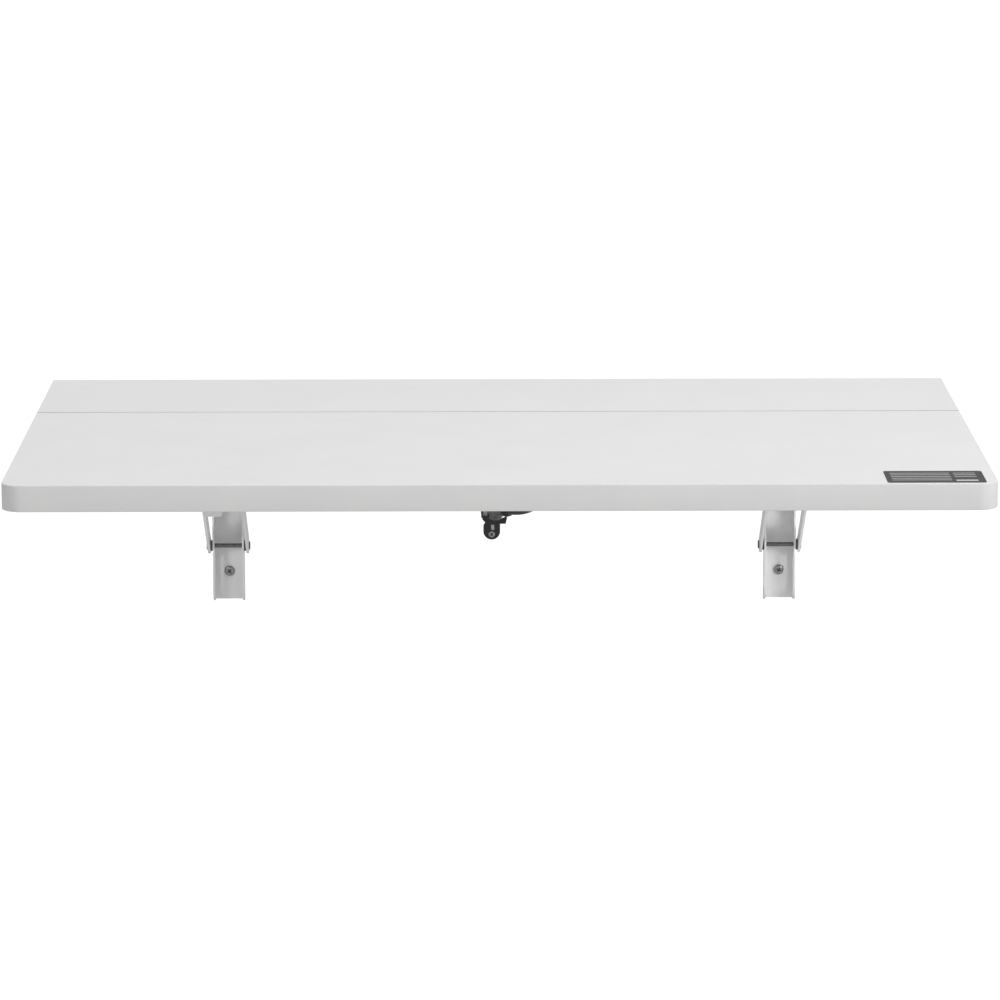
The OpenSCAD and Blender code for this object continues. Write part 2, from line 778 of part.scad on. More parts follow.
module damper_wall_plate() {
    foot_z = plate_screw_zs[0] + 3;
    head_z = plate_screw_zs[1];
    slot_size = [3.8, 6.4];
    slot_mid = [1.1, -24.7];
    slot_depth = plate_t / 2;
    color([0.12, 0.12, 0.13]) translate([damper_x, 0, 0]) {
        difference() {
            in_wall_plane(0, plate_t) difference() {
                union() {
                    bar2d([0, foot_z], [0, head_z], plate_w);
                    translate([ear_x, wall_ball.z - 1]) square([plate_w, 2 * ear_r + 3]);
                    translate([0, wall_ball.z]) {
                        plate_wing();
                        ear_root();
                    }
                }
                translate([0, wall_ball.z]) ear_notch();
            }
            in_wall_plane(slot_depth - plate_t, slot_depth + cut) translate([0, wall_ball.z])
                translate(slot_mid) square(slot_size, center = true);
            for (z = plate_screw_zs) rod_y(0, cut, z, plate_t + 2 * cut, wood_screw_r + slide);
        }
        difference() {
            in_side_plane(ear_x, ear_t)
                bar2d([-plate_t, wall_ball.z + 8], [wall_ball.y, wall_ball.z], 2 * ear_r);
            rod_x(ear_x - cut, ear_x + ear_t + cut, wall_ball.y, wall_ball.z, stud_r);
            translate([ear_x - cut, 0, wall_ball.z - 3 * ear_r]) cube([ear_t + 2 * cut, 2 * ear_r, 6 * ear_r]);
        }
    }
}

stud_r = 2.5;
nut_r = 4.6;
nut_t = 3.2;

// Ball stud along X: dir is -1 when its shank points to -X. Its shoulder of size [radius, length]
// ends on the ear's near face at seat, and the shank is shank_len long from there.
module ball_stud(ball, dir, seat, shoulder, shank_len) {
    shank = [seat, seat + dir * shank_len];
    neck = [ball.x, seat - dir * shoulder[1]];
    collar = [seat - dir * shoulder[1], seat];
    translate(ball) sphere(ball_r);
    rod_x(min(neck), max(neck), ball.y, ball.z, stud_r);
    rod_x(min(collar), max(collar), ball.y, ball.z, shoulder[0]);
    rod_x(min(shank), max(shank), ball.y, ball.z, stud_r);
}

// The wall's stud is peened over in its ear
module damper_wall_stud() {
    peened = 0.3;
    color("silver") ball_stud(wall_ball, -1, damper_x + ear_x + ear_t, [4.9, 5.5], ear_t + peened);
}

module damper_wall_screws() {
    color("silver") for (z = plate_screw_zs)
        pan_screw_y(damper_x, -plate_t, z, wood_head_r, 2.4, wood_screw_r, wall_screw_len * 0.7);
}

// Turned housing: its outline is an arc round the ball, cut flat on the stud's side
module damper_wall_socket() {
    flat = ball_r + 4 * run;
    first = -asin(flat / socket_r);
    steps = 9;
    arc = [for (k = [0:steps - 1])
        let (a = first + (90 - first) * k / steps) socket_r * [cos(a), sin(a)]];
    color([0.6, 0.6, 0.6]) difference() {
        union() {
            translate(wall_ball) rotate([0, 90, 0]) rotate_extrude()
                polygon(concat([[0, socket_r], [0, -flat]], arc));
            along_damper(0) cylinder(h = collar_at, r = cylinder_r - 1);
        }
        translate(wall_ball) sphere(ball_r + run);
        rod_x(wall_ball.x - 2 * socket_r, wall_ball.x, wall_ball.y, wall_ball.z, ball_r - 1);
    }
}

module damper_collar() {
    color([0.1, 0.1, 0.1]) along_damper(collar_at) cylinder(h = collar_len, r = cylinder_r + 0.7);
}

// Rubber sleeve over the cylinder's lower end, swelling in the middle
module damper_boot() {
    boot_at = 25;
    boot_len = 37;
    rim_t = 0.3;
    swell = 2.4;
    steps = 10;
    outline = [for (k = [0:steps])
        [cylinder_r + rim_t + swell * sin(180 * k / steps), boot_len * k / steps]];
    color([0.08, 0.08, 0.08]) along_damper(boot_at) rotate_extrude()
        polygon(concat(outline, [[cylinder_r, boot_len], [cylinder_r, 0]]));
}

cylinder_at = collar_at + collar_len;
guide_len = 12;
guide_nose = 3;

module damper_cylinder() {
    color([0.13, 0.13, 0.14]) along_damper(cylinder_at) difference() {
        cylinder(h = cylinder_len, r = cylinder_r);
        translate([0, 0, 2 * cylinder_wall])
            cylinder(h = cylinder_len, r = cylinder_r - cylinder_wall);
    }
}

module damper_guide() {
    color([0.2, 0.2, 0.2]) along_damper(cylinder_at + cylinder_len - guide_len) difference() {
        union() {
            cylinder(h = guide_len, r = cylinder_r - cylinder_wall);
            translate([0, 0, guide_len]) cylinder(h = guide_nose, r1 = cylinder_r - 0.4, r2 = rod_r + 2);
        }
        translate([0, 0, -cut]) cylinder(h = guide_len + guide_nose + 2 * cut, r = rod_r + run);
    }
}

piston_len = 10;
rod_end_gap = 18;
rod_end = damper_len - rod_end_gap;
piston_at = rod_end - rod_len;

module damper_rod() {
    color("gainsboro") along_damper(piston_at) cylinder(h = rod_end - piston_at, r = rod_r);
}

module damper_piston() {
    color("dimgray") along_damper(piston_at + 4) difference() {
        cylinder(h = piston_len, r = cylinder_r - cylinder_wall - slide);
        translate([0, 0, -cut]) cylinder(h = piston_len + 2 * cut, r = rod_r);
    }
}

// This end of the linkage is the open one. The leaf ball swings on an arc while the rod's end moves
// along its chord, so the socket is a slot as long as the arc is deep.
ball_arc_r = norm([leaf_ball_reach, leaf_ball_drop]);
ball_arc_mid = 180 + atan2(leaf_ball_drop, leaf_ball_reach) + 45;
ball_path = ball_arc_r * (1 - cos(45)) * [cos(ball_arc_mid), sin(ball_arc_mid)];
ball_play = 1.7;
eye_r = 10.2;
eye_x = [leaf_ball.x - 9.2, leaf_ball.x + 6.8];
lip_x = leaf_ball.x + 5.6;
lip_r = 4.7;

module eye_outline(r) {
    here = [leaf_ball.y, leaf_ball.z];
    bar2d(here, here + ball_path, 2 * r);
}

module damper_leaf_socket() {
    neck_at = damper_len - 26;
    color([0.6, 0.6, 0.6]) difference() {
        union() {
            in_side_plane(eye_x[0], eye_x[1] - eye_x[0]) eye_outline(eye_r);
            along_damper(neck_at) cylinder(h = 20, r = cylinder_r - 2);
        }
        in_side_plane(eye_x[0] + 1.4, lip_x - eye_x[0] - 1.4) eye_outline(ball_r + ball_play);
        in_side_plane(lip_x - cut, 3 * cut) eye_outline(lip_r);
        along_damper(neck_at - cut) cylinder(h = rod_end - neck_at + cut, r = rod_r);
    }
}

leaf_ear_x = leaf_ball.x + ball_r + 3.5;
leaf_ear_t = 2.5;
base_w = 30;
base_y = [leaf_ball.y - 22, leaf_ball.y + 12];

module damper_leaf_places() {
    for (y = [base_y[0] + 8, base_y[0] + 20])
        translate([leaf_ear_x + leaf_ear_t + base_w - 12, y, underside_z]) children();
}

module damper_leaf_bracket() {
    color([0.12, 0.12, 0.13]) difference() {
        union() {
            translate([leaf_ear_x, base_y[0], underside_z - plate_t])
                cube([base_w, base_y[1] - base_y[0], plate_t]);
            in_side_plane(leaf_ear_x, leaf_ear_t) {
                translate([leaf_ball.y, leaf_ball.z]) circle(ear_r);
                translate([leaf_ball.y - ear_r, leaf_ball.z]) square([2 * ear_r, underside_z - leaf_ball.z]);
            }
        }
        rod_x(leaf_ear_x - cut, leaf_ear_x + leaf_ear_t + cut, leaf_ball.y, leaf_ball.z, stud_r);
        damper_leaf_places() seat_hole(plate_t);
    }
}

module damper_leaf_stud() {
    color("silver") ball_stud(leaf_ball, 1, leaf_ear_x, [4.2, 1.5], leaf_ear_t + nut_t + 1.2);
}

module damper_leaf_nut() {
    nut_x = leaf_ear_x + leaf_ear_t;
    color("silver") difference() {
        translate([nut_x, leaf_ball.y, leaf_ball.z]) rotate([0, 90, 0])
            cylinder(h = nut_t, r = nut_r, $fn = 6);
        rod_x(nut_x - cut, nut_x + nut_t + cut, leaf_ball.y, leaf_ball.z, stud_r);
    }
}

module damper_leaf_screws() {
    color("silver") damper_leaf_places() wood_screw(plate_t);
}

shelf_board();
shelf_edge_band();
hinge_flaps_shelf();
hinge_pins();
hinge_screws_shelf();
wall_channel_left();
wall_channel_right();
shelf_arm_left();
shelf_arm_right();
arm_rivets();
arm_screws();
wall_screws();
damper_wall_plate();
damper_wall_stud();
damper_wall_screws();
leaf_board();
leaf_edge_band();
info_label();
hinge_flaps_leaf();
hinge_screws_leaf();
leaf_rail_left();
leaf_rail_right();
rail_screws();
strut_pivot_pin_left();
strut_pivot_pin_right();
strut_pivot_clips();
strut_pivot_spacers();
lock_cam();
damper_leaf_bracket();
damper_leaf_stud();
damper_leaf_nut();
damper_leaf_screws();
strut_bars_left();
strut_slide_pin_left();
strut_spacers_left();
strut_clip_left();
lever_rivet();
strut_bars_right();
strut_slide_pin_right();
strut_spacers_right();
strut_clip_right();
release_lever();
lever_spring();
damper_cylinder();
damper_wall_socket();
damper_collar();
damper_boot();
damper_guide();
damper_rod();
damper_piston();
damper_leaf_socket();
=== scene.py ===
import json
import math

import bmesh
import bpy
from mathutils import Matrix, Vector


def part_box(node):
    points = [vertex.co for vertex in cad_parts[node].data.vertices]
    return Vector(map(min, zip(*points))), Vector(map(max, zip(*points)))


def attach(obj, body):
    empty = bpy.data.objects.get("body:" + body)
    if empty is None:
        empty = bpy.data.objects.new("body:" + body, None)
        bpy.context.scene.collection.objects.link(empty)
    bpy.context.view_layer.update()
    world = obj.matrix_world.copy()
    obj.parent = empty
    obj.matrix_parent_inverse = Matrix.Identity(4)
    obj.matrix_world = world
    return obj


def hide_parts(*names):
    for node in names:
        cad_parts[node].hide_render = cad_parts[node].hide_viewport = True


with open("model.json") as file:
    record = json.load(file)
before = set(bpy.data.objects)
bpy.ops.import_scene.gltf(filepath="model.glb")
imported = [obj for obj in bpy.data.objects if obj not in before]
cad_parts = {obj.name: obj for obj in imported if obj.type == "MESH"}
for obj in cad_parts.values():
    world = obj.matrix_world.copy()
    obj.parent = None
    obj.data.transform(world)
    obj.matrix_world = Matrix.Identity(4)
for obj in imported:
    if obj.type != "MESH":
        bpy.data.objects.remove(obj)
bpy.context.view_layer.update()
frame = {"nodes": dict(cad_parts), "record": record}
nodes = frame["nodes"]

# Real sizes are written in millimetres
MM = 0.001

# Camera of the photograph, in the frame of the table
CAMERA_AT = (-26.6, -5110.1, 1057.3)
CAMERA_YAW = 0.247
CAMERA_PITCH = 11.683
CAMERA_ROLL = -0.08
SENSOR = 36.0
FOCAL = 165.87
FLOOR_Z = -750

# Sizes and places of the table that the pieces below share
UNDERSIDE = 113
CORNER_R = 21
PLATE_SLOT_MIDDLE = (-12.9, -1.25, -30.7)
PLATE_SLOT_HALF = (1.9, 0.3, 3.2)
WALL_BALL = Vector((-10.2, -30.0, -6.0))
LEAF_BALL = Vector((222.8, -224.5, 97.4))
DAMPER_TURN = (LEAF_BALL - WALL_BALL).to_track_quat("Z", "Y").to_matrix().to_4x4()

# Points of a CAD mesh that lie closer than this, in metres, are one point
WELD = 2e-6
TINY = 1e-6


# Colours and node materials


def linear(code):
    """sRGB hex value to linear RGBA."""
    parts = [int(code[i:i + 2], 16) / 255 for i in (1, 3, 5)]
    return [*(c / 12.92 if c <= 0.04045 else ((c + 0.055) / 1.055) ** 2.4 for c in parts), 1.0]


def add(tree, kind, inputs=None, **settings):
    """Adds a shader node; an input takes a value or another node's output."""
    node = tree.nodes.new(kind)
    for key, value in settings.items():
        setattr(node, key, value)
    for key, value in (inputs or {}).items():
        if isinstance(value, bpy.types.NodeSocket):
            tree.links.new(value, node.inputs[key])
        else:
            node.inputs[key].default_value = value
    return node


def new_material(name, **sockets):
    """A new material, with its node tree, its shader and the object coordinates."""
    material = bpy.data.materials.new(name)
    material.use_nodes = True
    tree = material.node_tree
    shader = tree.nodes["Principled BSDF"]
    for key, value in sockets.items():
        shader.inputs[key.replace("_", " ")].default_value = value
    place = add(tree, "ShaderNodeTexCoord").outputs["Object"]
    return material, tree, shader, place


def pattern(tree, place, size_mm, detail=2.0, stretch=(1, 1, 1)):
    """Noise whose features are size_mm across, longer along an axis where stretch is below one."""
    turned = add(tree, "ShaderNodeMapping", {"Vector": place, "Scale": stretch})
    return add(tree, "ShaderNodeTexNoise", {
        "Vector": turned.outputs["Vector"], "Scale": 1 / (size_mm * MM),
        "Detail": detail, "Roughness": 0.5}).outputs["Fac"]


def spread(tree, value, low, high):
    """Maps the middle of a noise pattern to the range low to high."""
    span = add(tree, "ShaderNodeMapRange", {
        "Value": value, "From Min": 0.3, "From Max": 0.7, "To Min": low, "To Max": high})
    return span.outputs["Result"]


def tint(tree, shader, value, first, second):
    """Runs the base colour from first to second along a value."""
    mix = add(tree, "ShaderNodeMix", {"Factor": value, "A": linear(first), "B": linear(second)},
              data_type="RGBA")
    tree.links.new(mix.outputs["Result"], shader.inputs["Base Color"])
    return mix


def relief(tree, shader, height, depth_mm):
    """Bump of a real depth from a height between 0 and 1."""
    bump = add(tree, "ShaderNodeBump", {
        "Height": height, "Distance": depth_mm * MM, "Strength": 1.0})
    tree.links.new(bump.outputs["Normal"], shader.inputs["Normal"])


def gloss(tree, shader, value, low, high):
    """Roughness that wanders between low and high along a noise pattern."""
    tree.links.new(spread(tree, value, low, high), shader.inputs["Roughness"])


def between(tree, value, middle_mm, half_mm):
    """1 where a value in metres lies within half_mm of middle_mm, else 0."""
    return add(tree, "ShaderNodeMath", {0: value, 1: middle_mm * MM, 2: half_mm * MM},
               operation="COMPARE").outputs[0]


def maths(tree, operation, first, second):
    """Result of a sum on two values."""
    return add(tree, "ShaderNodeMath", {0: first, 1: second}, operation=operation).outputs[0]


def shade_close(tree, shader, usual, reach_mm, hidden, bare, colour):
    """Paints shade into the base colour: a dark one where other faces stand closer than reach_mm.

    The openness of a spot is 1 on a free face: up to hidden it takes the painted shade fully, from
    bare on it keeps its usual colour.
    """
    openness = add(tree, "ShaderNodeAmbientOcclusion", {"Distance": reach_mm * MM}, samples=8)
    unshaded = add(tree, "ShaderNodeMapRange", {
        "Value": openness.outputs["AO"], "From Min": hidden, "From Max": bare})
    mix = add(tree, "ShaderNodeMix", {"Factor": unshaded.outputs["Result"], "A": linear(colour),
                                      "B": usual.outputs["Result"]}, data_type="RGBA")
    tree.links.new(mix.outputs["Result"], shader.inputs["Base Color"])


def recolour_inside(material, middle, half, colour):
    """Gives a material another colour inside a box, told by its middle and half size."""
    tree = material.node_tree
    shader = tree.nodes["Principled BSDF"]
    usual = shader.inputs["Base Color"].links[0].from_socket
    place = add(tree, "ShaderNodeTexCoord").outputs["Object"]
    axes = add(tree, "ShaderNodeSeparateXYZ", {0: place}).outputs
    inside = [between(tree, axes[k], middle[k], half[k]) for k in range(3)]
    mask = maths(tree, "MULTIPLY", maths(tree, "MULTIPLY", inside[0], inside[1]), inside[2])
    mix = add(tree, "ShaderNodeMix", {"Factor": mask, "A": usual, "B": linear(colour)},
              data_type="RGBA")
    tree.links.new(mix.outputs["Result"], shader.inputs["Base Color"])


def melamine():
    """White melamine pressed on a fine-pored plate: satin, with a soft shell grain."""
    material, tree, shader, place = new_material("white_melamine_pressed", IOR=1.5)
    tint(tree, shader, spread(tree, pattern(tree, place, 90), 0, 1), "#EEEEEF", "#F1F1F1")
    gloss(tree, shader, pattern(tree, place, 14), 0.34, 0.42)
    relief(tree, shader, pattern(tree, place, 1.1, 3), 0.012)
    return material


def edge_banding():
    """White ABS edge band, extruded and buffed: a little smoother and warmer than the melamine.

    Painted shade where two bands stand close draws the seam's thin dark line.
    """
    material, tree, shader, place = new_material("white_abs_edge_band_buffed", IOR=1.5)
    band = tint(tree, shader, spread(tree, pattern(tree, place, 60), 0, 1), "#EBEBEB", "#EFEFEE")
    # painted shade in the narrow seam between the bands
    shade_close(tree, shader, band, reach_mm=4, hidden=0.8, bare=0.98, colour="#1E1E1F")
    gloss(tree, shader, pattern(tree, place, 9), 0.3, 0.38)
    relief(tree, shader, pattern(tree, place, 1.6, 2, (0.15, 0.15, 1)), 0.01)
    return material


def powder_coat(name, first, second, rough):
    """Powder coat baked on bent steel: an even colour with orange-peel relief."""
    material, tree, shader, place = new_material(name, IOR=1.5)
    tint(tree, shader, spread(tree, pattern(tree, place, 25), 0, 1), first, second)
    gloss(tree, shader, pattern(tree, place, 6), rough - 0.04, rough + 0.05)
    relief(tree, shader, pattern(tree, place, 0.9), 0.02)
    return material


def worked_metal(name, first, second, rough, line_mm, stretch, depth_mm, turn=(0, 0, 0),
                 painted_shade="#1E1E1F"):
    """Bare or plated metal whose tool marks run along the axis in which stretch is smallest.

    Painted shade darkens its recesses and corners; turn leads the marks along a slanted part.
    """
    material, tree, shader, place = new_material(name, Metallic=1.0)
    bare = tint(tree, shader, spread(tree, pattern(tree, place, 4, 3), 0, 1), first, second)
    # painted shade in recesses and corners, where other faces stand close
    shade_close(tree, shader, bare, reach_mm=2.4, hidden=0.35, bare=0.95, colour=painted_shade)
    along = add(tree, "ShaderNodeMapping", {"Vector": place, "Rotation": turn},
                vector_type="TEXTURE")
    marks = pattern(tree, along.outputs["Vector"], line_mm, stretch=stretch)
    gloss(tree, shader, marks, rough - 0.07, rough + 0.09)
    relief(tree, shader, marks, depth_mm)
    return material


def black_nylon():
    """Injection-moulded black nylon with fine spark texture: dull, slightly mottled."""
    material, tree, shader, place = new_material("black_nylon_moulded", IOR=1.53)
    tint(tree, shader, spread(tree, pattern(tree, place, 12), 0, 1), "#111112", "#19191A")
    gloss(tree, shader, pattern(tree, place, 2), 0.42, 0.55)
    relief(tree, shader, pattern(tree, place, 0.5), 0.02)
    return material


# The label's print, told from the middle of the film
ROW_PITCH = 8.6
ROW_SHARE = 0.12
WIDE_AT, WIDE_HALF = -14, 30
NARROW_AT, NARROW_HALF = 31, 11
NARROW_UP = 8
BAR_DOWN, BAR_HALF = 19, 3.2
WIDE_MARGIN = 6
NARROW_MARGIN = 14


def print_block(tree, axes, middle, across, along, half):
    """1 inside a block of print, told by its middle and half size from the film's middle."""
    return maths(tree, "MULTIPLY", between(tree, axes[0], middle.x + across, half[0]),
                 between(tree, axes[1], middle.y + along, half[1]))


def label_film():
    """Matt dark polyester film printed with blank ruled lines and a plain bar: no lettering."""
    material, tree, shader, place = new_material("dark_polyester_film_printed", IOR=1.5)
    low, high = (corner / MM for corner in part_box("info_label"))
    middle, size = (low + high) / 2, high - low
    axes = add(tree, "ShaderNodeSeparateXYZ", {0: place}).outputs
    rows = maths(tree, "FRACT", maths(tree, "DIVIDE", axes[1], -ROW_PITCH * MM), 0.0)
    rows = add(tree, "ShaderNodeMath", {0: rows, 1: 0.5, 2: ROW_SHARE}, operation="COMPARE")
    wide = print_block(tree, axes, middle, WIDE_AT, 0, (WIDE_HALF, size.y / 2 - WIDE_MARGIN))
    narrow = print_block(tree, axes, middle, NARROW_AT, NARROW_UP,
                         (NARROW_HALF, size.y / 2 - NARROW_MARGIN))
    ruled = maths(tree, "MULTIPLY", rows.outputs[0], maths(tree, "MAXIMUM", wide, narrow))
    bar = print_block(tree, axes, middle, NARROW_AT, -BAR_DOWN, (NARROW_HALF, BAR_HALF))
    print_mask = maths(tree, "MAXIMUM", ruled, bar)
    film = tint(tree, shader, spread(tree, pattern(tree, place, 7, 3), 0, 1), "#19191B", "#202022")
    inked = add(tree, "ShaderNodeMix", {"Factor": print_mask, "A": film.outputs["Result"],
                                        "B": linear("#D2D3D5")}, data_type="RGBA")
    tree.links.new(inked.outputs["Result"], shader.inputs["Base Color"])
    shader.inputs["Specular IOR Level"].default_value = 0.32
    gloss(tree, shader, pattern(tree, place, 3), 0.5, 0.6)
    relief(tree, shader, pattern(tree, place, 0.8), 0.01)
    return material


FINISHES = {
    "board_laminate": melamine(),
    "edge_band": edge_banding(),
    "label_print": label_film(),
    "white_steel": powder_coat("white_powder_coat_baked", "#E9E9EA", "#EEEEEE", rough=0.38),
    "black_steel": powder_coat("black_powder_coat_baked", "#171718", "#1F1F20", rough=0.36),
    "zinc_steel": worked_metal("zinc_plated_steel_turned", "#8F9093", "#9D9EA1", rough=0.24,
                               line_mm=0.5, stretch=(1, 0.2, 1), depth_mm=0.008),
    # The burnished pins get a lighter painted shade in their recesses.
    "dark_steel": worked_metal("burnished_steel_turned", "#66676A", "#77787B", rough=0.33,
                               line_mm=0.5, stretch=(0.1, 1, 1), depth_mm=0.01, painted_shade="#4C4C4E"),
    "spring_wire": worked_metal("spring_steel_drawn", "#8C8D90", "#9A9B9D", rough=0.3,
                                line_mm=0.4, stretch=(1, 1, 0.2), depth_mm=0.006),
    "socket_metal": worked_metal("zinc_alloy_brushed", "#5E5F61", "#77787A", rough=0.36,
                                 line_mm=0.9, stretch=(1, 1, 0.12), depth_mm=0.03,
                                 turn=DAMPER_TURN.to_euler()),
    "black_plastic": black_nylon(),
    "polished_rod": worked_metal("hard_chrome_ground", "#C4C5C8", "#CFD0D2", rough=0.16,
                                 line_mm=0.4, stretch=(0.3, 1, 1), depth_mm=0.003),
}
recolour_inside(FINISHES["black_steel"], PLATE_SLOT_MIDDLE, PLATE_SLOT_HALF, "#D5D6D8")

RECORD = frame["record"]
SLOT_OF = {part["node"]: part["material_slot"] for part in RECORD["subparts"]}
BODY_OF = {node: body for body, held in RECORD["behaviour"]["bodies"].items() for node in held}


# Pieces


def dress(piece, slot):
    """Gives a piece the finish of its slot and nothing else."""
    piece.data.materials.clear()
    piece.data.materials.append(FINISHES[slot])


def piece_from(bm, name, node):
    """Turns a bmesh into a piece that stands for a CAD node and rides on its body."""
    bmesh.ops.recalc_face_normals(bm, faces=bm.faces)
    mesh = bpy.data.meshes.new(name)
    bm.to_mesh(mesh)
    bm.free()
    piece = bpy.data.objects.new(name, mesh)
    bpy.context.scene.collection.objects.link(piece)
    dress(piece, SLOT_OF[node])
    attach(piece, BODY_OF[node])
    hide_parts(node)
    return piece


def cad_copy(node):
    """The mesh of a CAD node as a bmesh, its split points welded."""
    bm = bmesh.new()
    bm.from_mesh(nodes[node].data)
    bmesh.ops.remove_doubles(bm, verts=bm.verts, dist=WELD)
    return bm


def open_edges(bm):
    return [e for e in bm.edges if e.is_boundary]


def shade(bm, sharp_deg=35):
    """Smooth faces, with edges sharper than an angle kept crisp."""
    for face in bm.faces:
        face.smooth = True
    for edge in bm.edges:
        if len(edge.link_faces) == 2:
            edge.smooth = edge.calc_face_angle(0) < math.radians(sharp_deg)


def softened(node, width_mm, sharper_than_deg=38):
    """A copy of a CAD node whose edges are rounded as tumbled or coated metal is."""
    bm = cad_copy(node)
    bmesh.ops.dissolve_limit(bm, angle_limit=math.radians(1), verts=bm.verts, edges=bm.edges)
    shade(bm)
    piece = piece_from(bm, node + "_finished", node)
    bevel = piece.modifiers.new("edges", "BEVEL")
    bevel.width = width_mm * MM
    bevel.segments = 2
    bevel.limit_method = "ANGLE"
    bevel.angle_limit = math.radians(sharper_than_deg)
    bevel.harden_normals = True


# An edge that turns by more than this, in radians, is a corner of the band
CREASE = 1.2


def is_level(edge):
    return abs(edge.verts[0].co.z - edge.verts[1].co.z) < TINY


def edge_band(node, corner_mm, seam_side, band_mm=1.0, round_mm=0.9):
    """Edge band as one closed ring, its outer edges rounded over except along the seam.

    The seam is the band's front side where seam_side is 0 and its back where it is 1.
    """
    low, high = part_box(node)
    seam_y = (low, high)[seam_side].y
    bm = bmesh.new()
    bmesh.ops.create_cube(bm, size=1, matrix=Matrix.Translation((low + high) / 2)
                          @ Matrix.Diagonal((*(high - low), 1)))
    if corner_mm:
        front = [e for e in bm.edges
                 if all(abs(v.co.y - low.y) < TINY for v in e.verts) and not is_level(e)]
        bmesh.ops.bevel(bm, geom=front, offset=corner_mm * MM, offset_type="OFFSET",
                        affect="EDGES", segments=20, profile=0.5, material=-1)
    caps = [f for f in bm.faces if abs(f.normal.z) > 0.9]
    for cap in caps:
        bmesh.ops.inset_individual(bm, faces=[cap], thickness=band_mm * MM,
                                   use_even_offset=True)
    rims = [e for cap in caps for e in cap.edges]
    bmesh.ops.delete(bm, geom=caps, context="FACES_ONLY")
    bmesh.ops.bridge_loops(bm, edges=rims)
    outer = [e for e in bm.edges
             if is_level(e) and len(e.link_faces) == 2 and e.calc_face_angle(0) > CREASE
             and is_outside(e, low, high, corner_mm, band_mm)
             and any(abs(v.co.y - seam_y) > TINY for v in e.verts)]
    bmesh.ops.bevel(bm, geom=outer, offset=round_mm * MM, offset_type="OFFSET",
                    affect="EDGES", segments=4, profile=0.5, material=-1, clamp_overlap=True)
    shade(bm, 50)
    return piece_from(bm, node + "_rounded", node)


def is_outside(edge, low, high, corner_mm, band_mm):
    """True for an edge on the outer outline of a band, not on its inner one."""
    mid = (edge.verts[0].co + edge.verts[1].co) / 2
    near = min(mid.x - low.x, high.x - mid.x, mid.y - low.y, high.y - mid.y)
    if near < 0.3 * band_mm * MM:
        return True
    corner = corner_mm * MM
    side = mid.x - low.x < corner or high.x - mid.x < corner
    if not corner or not side or mid.y - low.y > corner:
        return False
    centre_x = low.x + corner if mid.x - low.x < corner else high.x - corner
    return (mid.xy - Vector((centre_x, low.y + corner))).length > corner - 0.5 * band_mm * MM


for name in ("shelf_board", "leaf_board"):
    dress(nodes[name], SLOT_OF[name])
edge_band("shelf_edge_band", 0, 0)
edge_band("leaf_edge_band", CORNER_R, 1)


# Screws: shares of the head's radius and height, of the shank's radius and of the thread's pitch
RIM_SHARE = 0.56
RIM_LOW, RIM_RISE = 0.35, 0.6
RECESS_REACH = 0.5
RECESS_HALF_WIDTH = 0.1
RECESS_DEPTH = 0.6
RECESS_TAPER = 0.72
CORE_SHARE = 0.72
NECK_SHARE = 0.96
TIP_SHARE = 2.4
RIDGE_START, RIDGE_HALF = 0.6, 0.3
ROUND_STEPS = 32
FIRST_TURN, TURN_STEP = 40, 67


def recess_outline(loop, reach, half_width):
    """Moves a ring of vertices onto the outline of a cross."""
    for vert in loop:
        turn = math.atan2(vert.co.y, vert.co.x)
        off_axis = abs((turn + math.pi / 4) % (math.pi / 2) - math.pi / 4)
        along = reach / math.cos(off_axis)
        across = half_width / max(math.sin(off_axis), TINY)
        vert.co.xy = Vector((math.cos(turn), math.sin(turn))) * min(along, across)


def screw_mesh(head_r, head_h, neck_len, shank_r, length, pitch):
    """A pan-head screw round Z with a cross recess, its tip down.

    It enters a face at z = 0 and its head sits neck_len above it; with no pitch it has no thread.
    """
    bm = bmesh.new()
    core_r = shank_r * (CORE_SHARE if pitch else 1)
    neck_r = shank_r * NECK_SHARE
    tip_len = TIP_SHARE * shank_r
    rim_r = head_r * RIM_SHARE
    curve = [math.radians(a) for a in range(0, 91, 15)]
    dome = [(rim_r + (head_r - rim_r) * math.cos(a),
             head_h * (RIM_LOW + RIM_RISE * math.sin(a))) for a in curve]
    outline = [(0.02, -length), (core_r, tip_len - length), (core_r, 0), (neck_r, 0),
               (neck_r, neck_len), (head_r * 0.97, neck_len)]
    outline += [(r, neck_len + z) for r, z in dome]
    verts = [bm.verts.new((r * MM, 0, z * MM)) for r, z in outline]
    edges = [bm.edges.new(pair) for pair in zip(verts, verts[1:])]
    bmesh.ops.spin(bm, geom=verts + edges, cent=(0, 0, 0), axis=(0, 0, 1), angle=math.tau,
                   steps=ROUND_STEPS, use_merge=True)
    top = max(v.co.z for v in bm.verts)
    rim = [e for e in open_edges(bm) if e.verts[0].co.z > top - TINY]
    ring = bmesh.ops.create_circle(bm, segments=ROUND_STEPS, radius=head_r * MM / 2,
                                   matrix=Matrix.Translation((0, 0, top)))["verts"]
    recess_outline(ring, head_r * RECESS_REACH * MM, head_r * RECESS_HALF_WIDTH * MM)
    ring_edges = list({e for v in ring for e in v.link_edges})
    bmesh.ops.bridge_loops(bm, edges=rim + ring_edges)
    deep = bmesh.ops.extrude_edge_only(bm, edges=ring_edges)["geom"]
    floor = [v for v in deep if isinstance(v, bmesh.types.BMVert)]
    bmesh.ops.scale(bm, vec=(RECESS_TAPER, RECESS_TAPER, 1), verts=floor)
    bmesh.ops.translate(bm, vec=(0, 0, -head_h * RECESS_DEPTH * MM), verts=floor)
    bmesh.ops.holes_fill(bm, edges=open_edges(bm))
    if pitch:
        thread(bm, core_r, shank_r, length - tip_len, pitch)
    bmesh.ops.recalc_face_normals(bm, faces=bm.faces)
    shade(bm, 40)
    mesh = bpy.data.meshes.new("screw")
    bm.to_mesh(mesh)
    bm.free()
    return mesh


